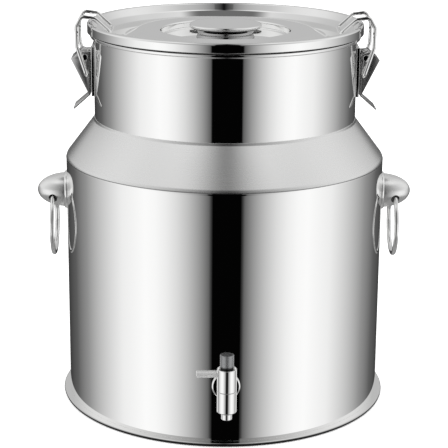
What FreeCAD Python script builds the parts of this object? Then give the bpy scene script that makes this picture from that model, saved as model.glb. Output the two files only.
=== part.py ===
import FreeCAD, Part
import os

import Sketcher
from FreeCAD import Placement, Rotation, Vector

doc = FreeCAD.newDocument("MilkCan")

# Driving dimensions in millimetres. Radii and heights are measured from the
# can's axis and from the floor that its foot ring stands on.
SIZES = {
    "skin": 1.2,
    "body_radius": 175.0,
    "body_top": 273.4,
    "foot_radius": 182.0,
    "foot_inner": 169.0,
    "foot_height": 4.4,
    "foot_round": 3.0,
    "foot_top_round": 1.2,
    "pan_top": 12.0,
    "lip_height": 272.6,
    "cone_height": 276.2,
    "cone_across": 1.5,
    "cone_round": 9.5,
    "crease_height": 316.5,
    "neck_radius": 143.2,
    "neck_top": 405.0,
    "bead_radius": 147.0,
    "bead_top": 409.0,
    "bead_round": 1.2,
    "lid_radius": 150.2,
    "skirt_height": 410.4,
    "lid_top": 420.7,
    "rim_round": 2.6,
    "rim_flat": 145.5,
    "rim_slope": 141.0,
    "rim_slope_height": 412.5,
    "channel_outer": 133.8,
    "channel_inner": 109.5,
    "channel_floor": 406.0,
    "plateau_radius": 95.5,
    "plateau_height": 412.5,
    "well_radius": 70.5,
    "well_floor": 403.6,
    "well_round": 2.2,
    "gasket_inner": 143.4,
    "gasket_outer": 148.7,
    "gasket_bottom": 409.3,
    "gasket_top": 419.2,
    "gasket_step": 413.0,
    "knob_radius": 39.5,
    "knob_top": 418.7,
    "knob_lip": 4.7,
    "knob_round": 2.0,
    "stem_foot": 32.0,
    "stem_waist": 29.0,
    "stem_waist_height": 408.6,
    "boss_radius": 7.0,
    "screw_radius": 3.0,
    "screw_clearance": 0.2,
    "screw_top": 413.5,
    "screw_head": 5.8,
    "screw_head_height": 4.0,
    "washer_radius": 9.0,
    "bracket_face": 145.2,
    "bracket_bottom": 341.0,
    "bracket_height": 54.0,
    "bracket_width": 39.0,
    "pivot_out": 152.5,
    "pivot_height": 383.5,
    "pivot_radius": 2.5,
    "pivot_reach": 18.6,
    "pivot_head": 3.6,
    "running_gap": 0.1,
    "ear_radius": 6.2,
    "ear_outside": 13.0,
    "ear_thick": 1.6,
    "lever_width": 34.0,
    "lever_gauge": 1.5,
    "bail_foot_out": 150.0,
    "bail_foot_height": 363.5,
    "bail_wire": 2.0,
    "bail_half_width": 21.0,
    "bail_foot_end": 14.0,
    "ring_radius": 35.0,
    "ring_wire": 2.5,
    "ring_out": 190.0,
    "ring_centre": 195.0,
    "ring_hole_height": 225.6,
    "ring_hole_radius": 4.8,
    "dome_height": 232.0,
    "dome_reach": 33.0,
    "dome_half_width": 20.0,
    "dome_half_height": 19.0,
    "saddle_half_width": 22.5,
    "saddle_half_height": 21.0,
    "saddle_thick": 3.0,
    "tap_out": 215.0,
    "shank_height": 68.0,
    "shank_radius": 8.0,
    "shank_end": 158.0,
    "wall_hole_gap": 0.2,
    "inlet_radius": 4.5,
    "barrel_radius": 10.0,
    "barrel_bottom": 55.0,
    "barrel_top": 77.1,
    "nozzle_radius": 5.5,
    "nozzle_bottom": 46.6,
    "nozzle_bore": 4.0,
    "nozzle_shoulder": 2.3,
    "plug_radius": 7.0,
    "plug_gap": 0.05,
    "plug_bottom": 56.5,
    "sleeve_bottom": 77.4,
    "sleeve_top": 101.3,
    "sleeve_dish": 9.2,
    "sleeve_dish_depth": 2.4,
    "stem_top": 116.4,
    "rod_radius": 3.85,
    "rod_height": 95.5,
    "rod_start": 7.0,
    "rod_reach": 31.0,
    "flange_radius": 14.75,
    "flange_out": 181.0,
    "flange_thick": 4.0,
    "gasket_face": 171.0,
    "tap_gasket_radius": 13.0,
    "nut_thick": 6.0,
    "nut_corner": 15.6,
    "o_ring_height": 74.6,
    "o_ring_radius": 6.35,
    "o_ring_wire": 0.68,
    "long_cut": 500.0,
}

sheet = doc.addObject("Spreadsheet::Sheet", "Sizes")
for row, (alias, value) in enumerate(SIZES.items(), 1):
    sheet.set("A%d" % row, alias)
    sheet.set("B%d" % row, str(value))
    sheet.setAlias("B%d" % row, alias)
doc.recompute()

SIDES = {"left": 180, "right": 0}
pieces = []


def bind(item, formulas):
    """Drive an object's properties from the sheet."""
    for prop, formula in formulas.items():
        item.setExpression(prop, formula)
    return item


def finish(item, label):
    """Name a finished sub-part; its label is also its file's name."""
    item.Label = label
    pieces.append(item)
    return item


def turned_over(item, side):
    """Put a piece made at +X on the named side of the can."""
    item.Placement = Placement(Vector(), Rotation(Vector(0, 0, 1), SIDES[side]))
    return item


# ---- sketches and PartDesign features --------------------------------------


def origin_plane(body, role):
    return next(item for item in body.Origin.OriginFeatures if item.Role == role)


def outline(body, name, corners):
    """A closed sketch in the XZ plane; each corner is a pair of formulas."""
    sketch = body.newObject("Sketcher::SketchObject", name)
    sketch.AttachmentSupport = [(origin_plane(body, "XZ_Plane"), "")]
    sketch.MapMode = "FlatFace"
    count = len(corners)
    start = [Vector(float(sheet_value(across)), float(sheet_value(up)), 0) for across, up in corners]
    for index in range(count):
        sketch.addGeometry(Part.LineSegment(start[index], start[(index + 1) % count]), False)
    for index in range(count):
        sketch.addConstraint(Sketcher.Constraint("Coincident", index, 2, (index + 1) % count, 1))
    for index, (across, up) in enumerate(corners):
        for kind, formula, value in (("DistanceX", across, start[index].x), ("DistanceY", up, start[index].y)):
            place = sketch.addConstraint(Sketcher.Constraint(kind, -1, 1, index, 1, value))
            sketch.setExpression("Constraints[%d]" % place, formula)
    return sketch


def sheet_value(formula):
    """The number that a sum of sheet cells and plain numbers stands for."""
    total = 0.0
    for term in formula.replace("- ", "+ -").split("+"):
        term = term.strip()
        sign = -1 if term.startswith("-") else 1
        name = term.lstrip("-").replace("Sizes.", "")
        total += sign * (SIZES[name] if name in SIZES else float(name))
    return total


def rounded(body, feature, name, spots, radius):
    """Fillet the circular edges that pass through the given corners."""
    wanted = [(sheet_value(across), sheet_value(up)) for across, up in spots]
    names = []
    for index, edge in enumerate(feature.Shape.Edges, 1):
        if not isinstance(edge.Curve, Part.Circle):
            continue
        here = (edge.Curve.Radius, edge.Curve.Center.z)
        if any(abs(here[0] - spot[0]) + abs(here[1] - spot[1]) < 0.01 for spot in wanted):
            names.append("Edge%d" % index)
    fillet = body.newObject("PartDesign::Fillet", name)
    fillet.Base = (feature, names)
    bind(fillet, {"Radius": radius})
    doc.recompute()
    return fillet


def lathe(label, corners, rounds=()):
    """A body turned about the can's axis, with some of its corners rounded."""
    body = doc.addObject("PartDesign::Body", label)
    sketch = outline(body, label + "_outline", corners)
    turn = body.newObject("PartDesign::Revolution", label + "_turn")
    turn.Profile = sketch
    turn.ReferenceAxis = (sketch, ["V_Axis"])
    turn.Angle = 360
    doc.recompute()
    feature = turn
    for number, (spots, radius) in enumerate(rounds):
        feature = rounded(body, feature, "%s_round%d" % (label, number), spots, radius)
    body.Tip = feature
    return finish(body, label)


def slab(body, kind, name, corners, width):
    """A pad or pocket of an outline, centred on the XZ plane."""
    sketch = outline(body, name + "_outline", corners)
    feature = body.newObject("PartDesign::" + kind, name)
    feature.Profile = sketch
    feature.SideType = "Symmetric"
    bind(feature, {"Length": width})
    doc.recompute()
    return feature


# ---- Part primitives --------------------------------------------------------


def cylinder(name, radius, height, x="0", y="0", z="0", rotation=Rotation()):
    rod = doc.addObject("Part::Cylinder", name)
    rod.Placement = Placement(Vector(), rotation)
    places = {"Placement.Base.x": x, "Placement.Base.y": y, "Placement.Base.z": z}
    return bind(rod, dict(places, Radius=radius, Height=height))


def box(name, length, width, height, x, y, z):
    block = doc.addObject("Part::Box", name)
    places = {"Placement.Base.x": x, "Placement.Base.y": y, "Placement.Base.z": z}
    return bind(block, dict(places, Length=length, Width=width, Height=height))


def cut(name, base, tool):
    item = doc.addObject("Part::Cut", name)
    item.Base = base
    item.Tool = tool
    return item


def common(name, base, tool):
    item = doc.addObject("Part::Common", name)
    item.Base = base
    item.Tool = tool
    return item


def fuse(name, shapes):
    item = doc.addObject("Part::MultiFuse", name)
    item.Shapes = shapes
    return item


ALONG_Y = Rotation(Vector(1, 0, 0), -90)
ALONG_MINUS_X = Rotation(Vector(0, 1, 0), -90)
X_TO_Y_TO_Z = Rotation(Vector(1, 1, 1), 120)


def bent_rod(corners, bend_radius, wire_radius):
    """A round rod along straight runs that are joined by tangent arcs."""
    edges = []
    start = corners[0]
    for before, corner, after in zip(corners, corners[1:], corners[2:]):
        into = (corner - before).normalize()
        out = (after - corner).normalize()
        reach = bend_radius * (into - out).Length / (into + out).Length
        middle = (out - into).normalize()
        centre_gap = 2 * bend_radius / (into + out).Length
        arc_start = corner - into * reach
        arc_end = corner + out * reach
        arc_middle = corner + middle * (centre_gap - bend_radius)
        edges.append(Part.LineSegment(start, arc_start).toShape())
        edges.append(Part.Arc(arc_start, arc_middle, arc_end).toShape())
        start = arc_end
    edges.append(Part.LineSegment(start, corners[-1]).toShape())
    path = Part.Wire(edges)
    section = Part.Wire([Part.makeCircle(wire_radius, corners[0], corners[1] - corners[0])])
    return path.makePipeShell([section], True, False)


# ---- can: foot ring, base, body, shoulder and neck --------------------------

lathe(
    "foot_ring",
    [
        ("Sizes.foot_inner", "0"),
        ("Sizes.foot_radius", "0"),
        ("Sizes.foot_radius", "Sizes.foot_height"),
        ("Sizes.foot_inner", "Sizes.foot_height"),
    ],
    [
        ([("Sizes.foot_radius", "0")], "Sizes.foot_round"),
        ([("Sizes.foot_radius", "Sizes.foot_height")], "Sizes.foot_top_round"),
    ],
)

lathe(
    "base_pan",
    [
        ("0", "Sizes.pan_top - Sizes.skin"),
        ("Sizes.body_radius - Sizes.skin - Sizes.skin", "Sizes.pan_top - Sizes.skin"),
        ("Sizes.body_radius - Sizes.skin - Sizes.skin", "Sizes.foot_height"),
        ("Sizes.body_radius - Sizes.skin", "Sizes.foot_height"),
        ("Sizes.body_radius - Sizes.skin", "Sizes.pan_top"),
        ("0", "Sizes.pan_top"),
    ],
)

body_length = "Sizes.body_top - Sizes.foot_height"
body_outside = cylinder("body_outside", "Sizes.body_radius", body_length, z="Sizes.foot_height")
body_inside = cylinder("body_inside", "Sizes.body_radius - Sizes.skin", "Sizes.long_cut")
tap_hole = cylinder(
    "tap_hole",
    "Sizes.shank_radius + Sizes.wall_hole_gap",
    "Sizes.tap_out - Sizes.shank_end",
    y="-Sizes.tap_out",
    z="Sizes.shank_height",
    rotation=ALONG_Y,
)
body_tube = cut("body_tube", body_outside, body_inside)
finish(cut("body_wall", body_tube, tap_hole), "body_shell")

shoulder_outer = "Sizes.body_radius + Sizes.skin"
lathe(
    "shoulder",
    [
        (shoulder_outer, "Sizes.lip_height"),
        (shoulder_outer, "Sizes.cone_height"),
        ("Sizes.neck_radius", "Sizes.crease_height"),
        ("Sizes.neck_radius - Sizes.cone_across", "Sizes.crease_height"),
        ("Sizes.body_radius", "Sizes.cone_height - 0.4"),
        ("Sizes.body_radius", "Sizes.lip_height"),
    ],
    [
        ([(shoulder_outer, "Sizes.cone_height")], "Sizes.cone_round"),
        ([("Sizes.body_radius", "Sizes.cone_height - 0.4")], "Sizes.cone_round - Sizes.skin"),
    ],
)

lathe(
    "neck",
    [
        ("Sizes.neck_radius - Sizes.skin", "Sizes.crease_height"),
        ("Sizes.neck_radius", "Sizes.crease_height"),
        ("Sizes.neck_radius", "Sizes.neck_top"),
        ("Sizes.bead_radius", "Sizes.neck_top"),
        ("Sizes.bead_radius", "Sizes.bead_top"),
        ("Sizes.neck_radius - Sizes.skin", "Sizes.bead_top"),
    ],
    [
        (
            [("Sizes.bead_radius", "Sizes.neck_top"), ("Sizes.bead_radius", "Sizes.bead_top")],
            "Sizes.bead_round",
        )
    ],
)

# ---- lid: pressed pan, gasket, knob ----------------------------------------

hole = "Sizes.screw_radius + Sizes.screw_clearance"
under = "Sizes.lid_top - Sizes.skin"
lathe(
    "lid_pan",
    [
        ("Sizes.lid_radius", "Sizes.skirt_height"),
        ("Sizes.lid_radius", "Sizes.lid_top"),
        ("Sizes.rim_flat", "Sizes.lid_top"),
        ("Sizes.rim_slope", "Sizes.rim_slope_height"),
        ("Sizes.channel_outer", "Sizes.channel_floor"),
        ("Sizes.channel_inner", "Sizes.channel_floor"),
        ("Sizes.plateau_radius", "Sizes.plateau_height"),
        ("Sizes.well_radius", "Sizes.plateau_height"),
        ("Sizes.well_radius", "Sizes.well_floor"),
        (hole, "Sizes.well_floor"),
        (hole, "Sizes.well_floor - Sizes.skin"),
        ("Sizes.well_radius + Sizes.skin", "Sizes.well_floor - Sizes.skin"),
        ("Sizes.well_radius + Sizes.skin", "Sizes.plateau_height - Sizes.skin"),
        ("Sizes.plateau_radius - 0.4", "Sizes.plateau_height - Sizes.skin"),
        ("Sizes.channel_inner - 0.4", "Sizes.channel_floor - Sizes.skin"),
        ("Sizes.channel_outer + 0.5", "Sizes.channel_floor - Sizes.skin"),
        ("Sizes.rim_slope + 1.1", "Sizes.rim_slope_height - 0.7"),
        ("Sizes.rim_flat + 0.7", under),
        ("Sizes.lid_radius - Sizes.skin", under),
        ("Sizes.lid_radius - Sizes.skin", "Sizes.skirt_height"),
    ],
    [
        ([("Sizes.lid_radius", "Sizes.lid_top")], "Sizes.rim_round"),
        ([("Sizes.lid_radius - Sizes.skin", under)], "Sizes.rim_round - Sizes.skin"),
        (
            [
                ("Sizes.well_radius", "Sizes.plateau_height"),
                ("Sizes.well_radius + Sizes.skin", "Sizes.well_floor - Sizes.skin"),
            ],
            "Sizes.well_round",
        ),
    ],
)

lathe(
    "lid_gasket",
    [
        ("Sizes.gasket_inner", "Sizes.gasket_bottom"),
        ("Sizes.gasket_outer", "Sizes.gasket_bottom"),
        ("Sizes.gasket_outer", "Sizes.gasket_top - Sizes.skin"),
        ("Sizes.gasket_outer - 1.4", "Sizes.gasket_top"),
        ("Sizes.gasket_inner", "Sizes.gasket_step"),
    ],
)

knob_under = "Sizes.knob_top - Sizes.knob_lip"
lathe(
    "knob_cap",
    [
        ("0", "Sizes.screw_top"),
        ("Sizes.screw_radius", "Sizes.screw_top"),
        ("Sizes.screw_radius", "Sizes.well_floor"),
        ("Sizes.boss_radius", "Sizes.well_floor"),
        ("Sizes.boss_radius", knob_under),
        ("Sizes.knob_radius", knob_under),
        ("Sizes.knob_radius", "Sizes.knob_top"),
        ("0", "Sizes.knob_top"),
    ],
    [
        (
            [("Sizes.knob_radius", knob_under), ("Sizes.knob_radius", "Sizes.knob_top")],
            "Sizes.knob_round",
        )
    ],
)

lathe(
    "knob_stem",
    [
        ("Sizes.stem_foot - Sizes.skin", "Sizes.well_floor"),
        ("Sizes.stem_foot", "Sizes.well_floor"),
        ("Sizes.stem_waist", "Sizes.stem_waist_height"),
        ("Sizes.stem_foot + Sizes.skin", knob_under),
        ("Sizes.stem_foot", knob_under),
        ("Sizes.stem_waist - Sizes.skin", "Sizes.stem_waist_height"),
    ],
)

washer_top = "Sizes.well_floor - Sizes.skin"
lathe(
    "knob_washer",
    [
        (hole, "Sizes.well_floor - Sizes.skin - Sizes.skin"),
        ("Sizes.washer_radius", "Sizes.well_floor - Sizes.skin - Sizes.skin"),
        ("Sizes.washer_radius", washer_top),
        (hole, washer_top),
    ],
)

screw_seat = "Sizes.well_floor - Sizes.skin - Sizes.skin"
screw_head = doc.addObject("Part::Prism", "screw_head")
screw_head.Polygon = 6
bind(
    screw_head,
    {
        "Circumradius": "Sizes.screw_head",
        "Height": "Sizes.screw_head_height",
        "Placement.Base.z": screw_seat + " - Sizes.screw_head_height",
    },
)
screw_length = "Sizes.screw_top - (%s)" % screw_seat
screw_shank = cylinder("screw_shank", "Sizes.screw_radius", screw_length, z=screw_seat)
finish(fuse("screw", [screw_head, screw_shank]), "knob_screw")

# ---- toggle clasps, one on each side of the neck ----------------------------


def bracket(side):
    """Plate that fits the neck, with two ears that carry the pivot pin."""
    name = "latch_" + side
    parts = [
        box(
            name + "_plate",
            "10",
            "Sizes.bracket_width",
            "Sizes.bracket_height",
            "Sizes.bracket_face - 10",
            "-Sizes.bracket_width / 2",
            "Sizes.bracket_bottom",
        )
    ]
    for number, edge in enumerate(("-Sizes.ear_outside", "Sizes.ear_outside - Sizes.ear_thick")):
        ear = "%s_ear%d" % (name, number)
        parts.append(
            box(
                ear + "_web",
                "Sizes.pivot_out - Sizes.bracket_face + 1",
                "Sizes.ear_thick",
                "2 * Sizes.ear_radius",
                "Sizes.bracket_face - 1",
                edge,
                "Sizes.pivot_height - Sizes.ear_radius",
            )
        )
        parts.append(
            cylinder(
                ear + "_eye",
                "Sizes.ear_radius",
                "Sizes.ear_thick",
                x="Sizes.pivot_out",
                y=edge,
                z="Sizes.pivot_height",
                rotation=ALONG_Y,
            )
        )
    solid = fuse(name + "_blank", parts)
    pin_hole = cylinder(
        name + "_pin_hole",
        "Sizes.pivot_radius",
        "Sizes.bracket_width",
        x="Sizes.pivot_out",
        y="-Sizes.bracket_width / 2",
        z="Sizes.pivot_height",
        rotation=ALONG_Y,
    )
    neck_space = cylinder(name + "_neck_space", "Sizes.neck_radius", "Sizes.long_cut")
    drilled = cut(name + "_drilled", solid, pin_hole)
    return turned_over(finish(cut(name + "_fitted", drilled, neck_space), name + "_bracket"), side)


def pivot_pin(side):
    """Pin through both ears, with a head outside each lever cheek."""
    name = "latch_" + side
    place = {"x": "Sizes.pivot_out", "z": "Sizes.pivot_height", "rotation": ALONG_Y}
    length = "2 * Sizes.pivot_reach"
    shank = cylinder(name + "_shank", "Sizes.pivot_radius", length, y="-Sizes.pivot_reach", **place)
    head_thick = "Sizes.pivot_reach - Sizes.lever_width / 2 - 2 * Sizes.running_gap"
    heads = [
        cylinder(name + "_head0", "Sizes.pivot_head", head_thick, y="-Sizes.pivot_reach", **place),
        cylinder(
            name + "_head1",
            "Sizes.pivot_head",
            head_thick,
            y="Sizes.lever_width / 2 + 2 * Sizes.running_gap",
            **place,
        ),
    ]
    return turned_over(finish(fuse(name + "_pin", [shank] + heads), name + "_pivot_pin"), side)


def round_hole(body, name, radius, across, up):
    """A hole along Y through the whole width of a body."""
    sketch = body.newObject("Sketcher::SketchObject", name + "_circle")
    sketch.AttachmentSupport = [(origin_plane(body, "XZ_Plane"), "")]
    sketch.MapMode = "FlatFace"
    centre = Vector(sheet_value(across), sheet_value(up), 0)
    sketch.addGeometry(Part.Circle(centre, Vector(0, 0, 1), sheet_value(radius)), False)
    for kind, arguments, formula in (
        ("DistanceX", (-1, 1, 0, 3, centre.x), across),
        ("DistanceY", (-1, 1, 0, 3, centre.y), up),
        ("Radius", (0, sheet_value(radius)), radius),
    ):
        place = sketch.addConstraint(Sketcher.Constraint(kind, *arguments))
        sketch.setExpression("Constraints[%d]" % place, formula)
    pocket = body.newObject("PartDesign::Pocket", name)
    pocket.Profile = sketch
    pocket.SideType = "Symmetric"
    bind(pocket, {"Length": "Sizes.lever_width + 10"})
    doc.recompute()
    return pocket


def lever(side):
    """Folded channel: a face plate, two cheeks and a turned-out finger tab."""
    body = doc.addObject("PartDesign::Body", "latch_%s_lever" % side)
    slab(
        body,
        "Pad",
        "lever_%s_cheeks" % side,
        [
            ("Sizes.pivot_out + 14.7", "Sizes.pivot_height - 2"),
            ("Sizes.pivot_out + 4.5", "Sizes.pivot_height + 6.8"),
            ("Sizes.pivot_out - 5.2", "Sizes.pivot_height + 4.2"),
            ("Sizes.pivot_out - 5.7", "Sizes.pivot_height - 30"),
            ("Sizes.pivot_out - 5.9", "Sizes.pivot_height - 41.2"),
            ("Sizes.pivot_out - 5", "Sizes.pivot_height - 42.3"),
        ],
        "Sizes.lever_width",
    )
    slab(
        body,
        "Pocket",
        "lever_%s_inside" % side,
        [
            ("Sizes.pivot_out - 8.5", "Sizes.pivot_height - 46.1"),
            ("Sizes.pivot_out + 18.6", "Sizes.pivot_height + 9.4"),
            ("Sizes.pivot_out - 15", "Sizes.pivot_height + 9.4"),
            ("Sizes.pivot_out - 15", "Sizes.pivot_height - 46.1"),
        ],
        "Sizes.lever_width - 2 * Sizes.lever_gauge",
    )
    slab(
        body,
        "Pad",
        "lever_%s_tab" % side,
        [
            ("Sizes.pivot_out - 5.9", "Sizes.pivot_height - 41.2"),
            ("Sizes.pivot_out + 11.9", "Sizes.pivot_height - 57"),
            ("Sizes.pivot_out + 12.9", "Sizes.pivot_height - 55.9"),
            ("Sizes.pivot_out - 4.4", "Sizes.pivot_height - 41.1"),
        ],
        "Sizes.lever_width",
    )
    round_hole(
        body,
        "lever_%s_pin_hole" % side,
        "Sizes.pivot_radius + Sizes.running_gap",
        "Sizes.pivot_out",
        "Sizes.pivot_height",
    )
    body.Tip = round_hole(
        body,
        "lever_%s_bail_hole" % side,
        "Sizes.bail_wire + Sizes.running_gap",
        "Sizes.bail_foot_out",
        "Sizes.bail_foot_height",
    )
    return turned_over(finish(body, "latch_%s_lever" % side), side)


def bail(side):
    """Wire loop from the lever, over the lid's rim and down into its channel."""
    foot_out = sheet.bail_foot_out
    foot_height = sheet.bail_foot_height
    half = sheet.bail_half_width
    arm = [
        Vector(foot_out, sheet.bail_foot_end, foot_height),
        Vector(foot_out, half, foot_height),
        Vector(foot_out + 10, half, foot_height + 31.5),
        Vector(foot_out + 10.5, half, foot_height + 53.5),
        Vector(foot_out + 4.5, half, foot_height + 64.5),
        Vector(foot_out - 10, half, foot_height + 62.5),
        Vector(foot_out - 26.5, half, foot_height + 47.5),
    ]
    other = [Vector(point.x, -point.y, point.z) for point in reversed(arm)]
    item = doc.addObject("Part::Feature", "latch_%s_bail" % side)
    item.Shape = bent_rod(arm + other, sheet.bail_wire * 2.2, sheet.bail_wire)
    return turned_over(finish(item, "latch_%s_bail" % side), side)


# ---- ring handles, one on each side of the body -----------------------------


def saddle(side):
    """Oval plate that lies on the body under the handle's dome."""
    name = "handle_" + side
    oval = doc.addObject("Part::Ellipse", name + "_oval")
    oval.Placement = Placement(Vector(), X_TO_Y_TO_Z)
    bind(
        oval,
        {
            "MajorRadius": "Sizes.saddle_half_width",
            "MinorRadius": "Sizes.saddle_half_height",
            "Placement.Base.z": "Sizes.dome_height",
        },
    )
    column = doc.addObject("Part::Extrusion", name + "_column")
    column.Base = oval
    column.DirMode = "Normal"
    column.Solid = True
    bind(column, {"LengthFwd": "2 * Sizes.body_radius"})
    outside = cylinder(name + "_outside", "Sizes.body_radius + Sizes.saddle_thick", "Sizes.long_cut")
    inside = cylinder(name + "_inside", "Sizes.body_radius", "Sizes.long_cut")
    curved = common(name + "_curved", column, outside)
    return turned_over(finish(cut(name + "_bent", curved, inside), name + "_plate"), side)


def dome(side):
    """Half of a hollow ellipsoid, with a hole at each end for the ring."""
    name = "handle_" + side
    shells = []
    for layer, wall in (("skin", "0"), ("hollow", "Sizes.skin")):
        shell = doc.addObject("Part::Ellipsoid", "%s_%s" % (name, layer))
        bind(
            shell,
            {
                "Radius1": "Sizes.dome_half_height - " + wall,
                "Radius2": "Sizes.dome_reach - " + wall,
                "Radius3": "Sizes.dome_half_width - " + wall,
                "Placement.Base.x": "Sizes.body_radius",
                "Placement.Base.z": "Sizes.dome_height",
            },
        )
        shells.append(shell)
    bowl = cut(name + "_bowl", shells[0], shells[1])
    holes = cylinder(
        name + "_holes",
        "Sizes.ring_hole_radius",
        "4 * Sizes.dome_half_width",
        x="Sizes.ring_out",
        y="-2 * Sizes.dome_half_width",
        z="Sizes.ring_hole_height",
        rotation=ALONG_Y,
    )
    pierced = cut(name + "_pierced", bowl, holes)
    behind = cylinder(name + "_behind", "Sizes.body_radius + Sizes.saddle_thick", "Sizes.long_cut")
    return turned_over(finish(cut(name + "_seated", pierced, behind), name + "_dome"), side)


def ring(side):
    """Wire ring that hangs through the two holes of the dome."""
    loop = doc.addObject("Part::Torus", "handle_%s_loop" % side)
    turned = Rotation(Vector(0, 1, 0), 90)
    loop.Placement = Placement(Vector(), Rotation(Vector(0, 0, 1), SIDES[side]) * turned)
    reach = "Sizes.ring_out" if side == "right" else "-Sizes.ring_out"
    bind(
        loop,
        {
            "Radius1": "Sizes.ring_radius",
            "Radius2": "Sizes.ring_wire",
            "Placement.Base.x": reach,
            "Placement.Base.z": "Sizes.ring_centre",
        },
    )
    return finish(loop, "handle_%s_ring" % side)


for side in SIDES:
    bracket(side)
    pivot_pin(side)
    lever(side)
    bail(side)
    saddle(side)
    dome(side)
    ring(side)

# ---- tap at the front of the body, low down ---------------------------------

TAP = {"y": "-Sizes.tap_out"}


def across_wall(name, radius, outer_end, inner_end):
    """A cylinder on the tap's level axis, between two distances from the can's axis."""
    return cylinder(
        name,
        radius,
        "%s - %s" % (outer_end, inner_end),
        y="-" + outer_end,
        z="Sizes.shank_height",
        rotation=ALONG_Y,
    )


barrel_length = "Sizes.barrel_top - Sizes.barrel_bottom"
barrel = cylinder("barrel", "Sizes.barrel_radius", barrel_length, z="Sizes.barrel_bottom", **TAP)
nozzle_length = "Sizes.barrel_bottom - Sizes.nozzle_bottom"
nozzle = cylinder("nozzle", "Sizes.nozzle_radius", nozzle_length, z="Sizes.nozzle_bottom", **TAP)
taper = doc.addObject("Part::Cone", "taper")
bind(
    taper,
    {
        "Radius1": "Sizes.nozzle_radius",
        "Radius2": "Sizes.barrel_radius",
        "Height": "Sizes.nozzle_shoulder",
        "Placement.Base.y": "-Sizes.tap_out",
        "Placement.Base.z": "Sizes.barrel_bottom - Sizes.nozzle_shoulder",
    },
)
shank = across_wall("shank", "Sizes.shank_radius", "Sizes.tap_out", "Sizes.shank_end")
tap_blank = fuse("tap_blank", [barrel, nozzle, taper, shank])
seat_radius = "Sizes.plug_radius + Sizes.plug_gap"
tap_ways = fuse(
    "tap_ways",
    [
        cylinder("outlet_way", "Sizes.nozzle_bore", "Sizes.long_cut / 10", z="Sizes.nozzle_bottom", **TAP),
        cylinder("plug_seat", seat_radius, "Sizes.long_cut", z="Sizes.plug_bottom", **TAP),
        across_wall("inlet_way", "Sizes.inlet_radius", "Sizes.tap_out", "Sizes.shank_end"),
    ],
)
finish(cut("tap_bored", tap_blank, tap_ways), "tap_body")


def wall_ring(label, radius, outer_end, inner_end):
    """A round washer on the shank."""
    disc = across_wall(label + "_disc", radius, outer_end, inner_end)
    bore = across_wall(label + "_bore", "Sizes.shank_radius", "Sizes.tap_out", "Sizes.shank_end")
    return cut(label + "_washer", disc, bore)


flange_back = "(Sizes.flange_out - Sizes.flange_thick)"
finish(wall_ring("tap_flange", "Sizes.flange_radius", "Sizes.flange_out", flange_back), "tap_flange")
outer_gasket = wall_ring("outer_gasket", "Sizes.tap_gasket_radius", flange_back, "Sizes.gasket_face")
wall_outside = cylinder("wall_outside", "Sizes.body_radius", "Sizes.long_cut")
finish(cut("outer_gasket_fitted", outer_gasket, wall_outside), "tap_outer_gasket")
inner_gasket = wall_ring("inner_gasket", "Sizes.tap_gasket_radius", flange_back, "Sizes.gasket_face")
wall_inside = cylinder("wall_inside", "Sizes.body_radius - Sizes.skin", "Sizes.long_cut")
finish(common("inner_gasket_fitted", inner_gasket, wall_inside), "tap_inner_gasket")

nut_blank = doc.addObject("Part::Prism", "nut_blank")
nut_blank.Polygon = 6
nut_blank.Placement = Placement(Vector(), ALONG_Y)
bind(
    nut_blank,
    {
        "Circumradius": "Sizes.nut_corner",
        "Height": "Sizes.nut_thick",
        "Placement.Base.y": "-Sizes.gasket_face",
        "Placement.Base.z": "Sizes.shank_height",
    },
)
nut_bore = across_wall("nut_bore", "Sizes.shank_radius", "Sizes.tap_out", "Sizes.shank_end")
finish(cut("nut_drilled", nut_blank, nut_bore), "tap_lock_nut")

# ---- tap handle: turning plug, sleeve and side rod --------------------------

plug_length = "Sizes.stem_top - Sizes.plug_bottom"
plug_blank = cylinder("plug_blank", "Sizes.plug_radius", plug_length, z="Sizes.plug_bottom", **TAP)
port_length = "Sizes.shank_height - Sizes.plug_bottom"
plug_ways = fuse(
    "plug_ways",
    [
        cylinder("plug_down", "Sizes.nozzle_bore", port_length, z="Sizes.plug_bottom", **TAP),
        cylinder(
            "plug_across",
            "Sizes.inlet_radius",
            "Sizes.barrel_radius",
            x="0",
            z="Sizes.shank_height",
            rotation=Rotation(Vector(0, 1, 0), 90),
            **TAP,
        ),
    ],
)
groove = doc.addObject("Part::Torus", "groove")
seal = doc.addObject("Part::Torus", "seal")
for torus in (groove, seal):
    bind(
        torus,
        {
            "Radius1": "Sizes.o_ring_radius",
            "Radius2": "Sizes.o_ring_wire",
            "Placement.Base.y": "-Sizes.tap_out",
            "Placement.Base.z": "Sizes.o_ring_height",
        },
    )
plug_ported = cut("plug_ported", plug_blank, plug_ways)
finish(cut("plug_grooved", plug_ported, groove), "tap_spindle")
finish(seal, "tap_o_ring")

sleeve_length = "Sizes.sleeve_top - Sizes.sleeve_bottom"
sleeve_blank = cylinder("sleeve_blank", "Sizes.barrel_radius", sleeve_length, z="Sizes.sleeve_bottom", **TAP)
sleeve_spaces = fuse(
    "sleeve_spaces",
    [
        cylinder("sleeve_bore", "Sizes.plug_radius", "Sizes.long_cut", z="Sizes.plug_bottom", **TAP),
        cylinder(
            "sleeve_dish_space",
            "Sizes.sleeve_dish",
            "Sizes.sleeve_top",
            z="Sizes.sleeve_top - Sizes.sleeve_dish_depth",
            **TAP,
        ),
        cylinder(
            "rod_socket",
            "Sizes.rod_radius",
            "Sizes.rod_reach",
            z="Sizes.rod_height",
            rotation=ALONG_MINUS_X,
            **TAP,
        ),
    ],
)
finish(cut("sleeve_bored", sleeve_blank, sleeve_spaces), "tap_sleeve")
rod_blank = cylinder(
    "rod_blank",
    "Sizes.rod_radius",
    "Sizes.rod_reach",
    z="Sizes.rod_height",
    rotation=ALONG_MINUS_X,
    **TAP,
)
spindle_space = cylinder("spindle_space", "Sizes.plug_radius", "Sizes.long_cut", **TAP)
finish(cut("rod_seated", rod_blank, spindle_space), "tap_rod")

# ---- checks and files --------------------------------------------------------

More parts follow.
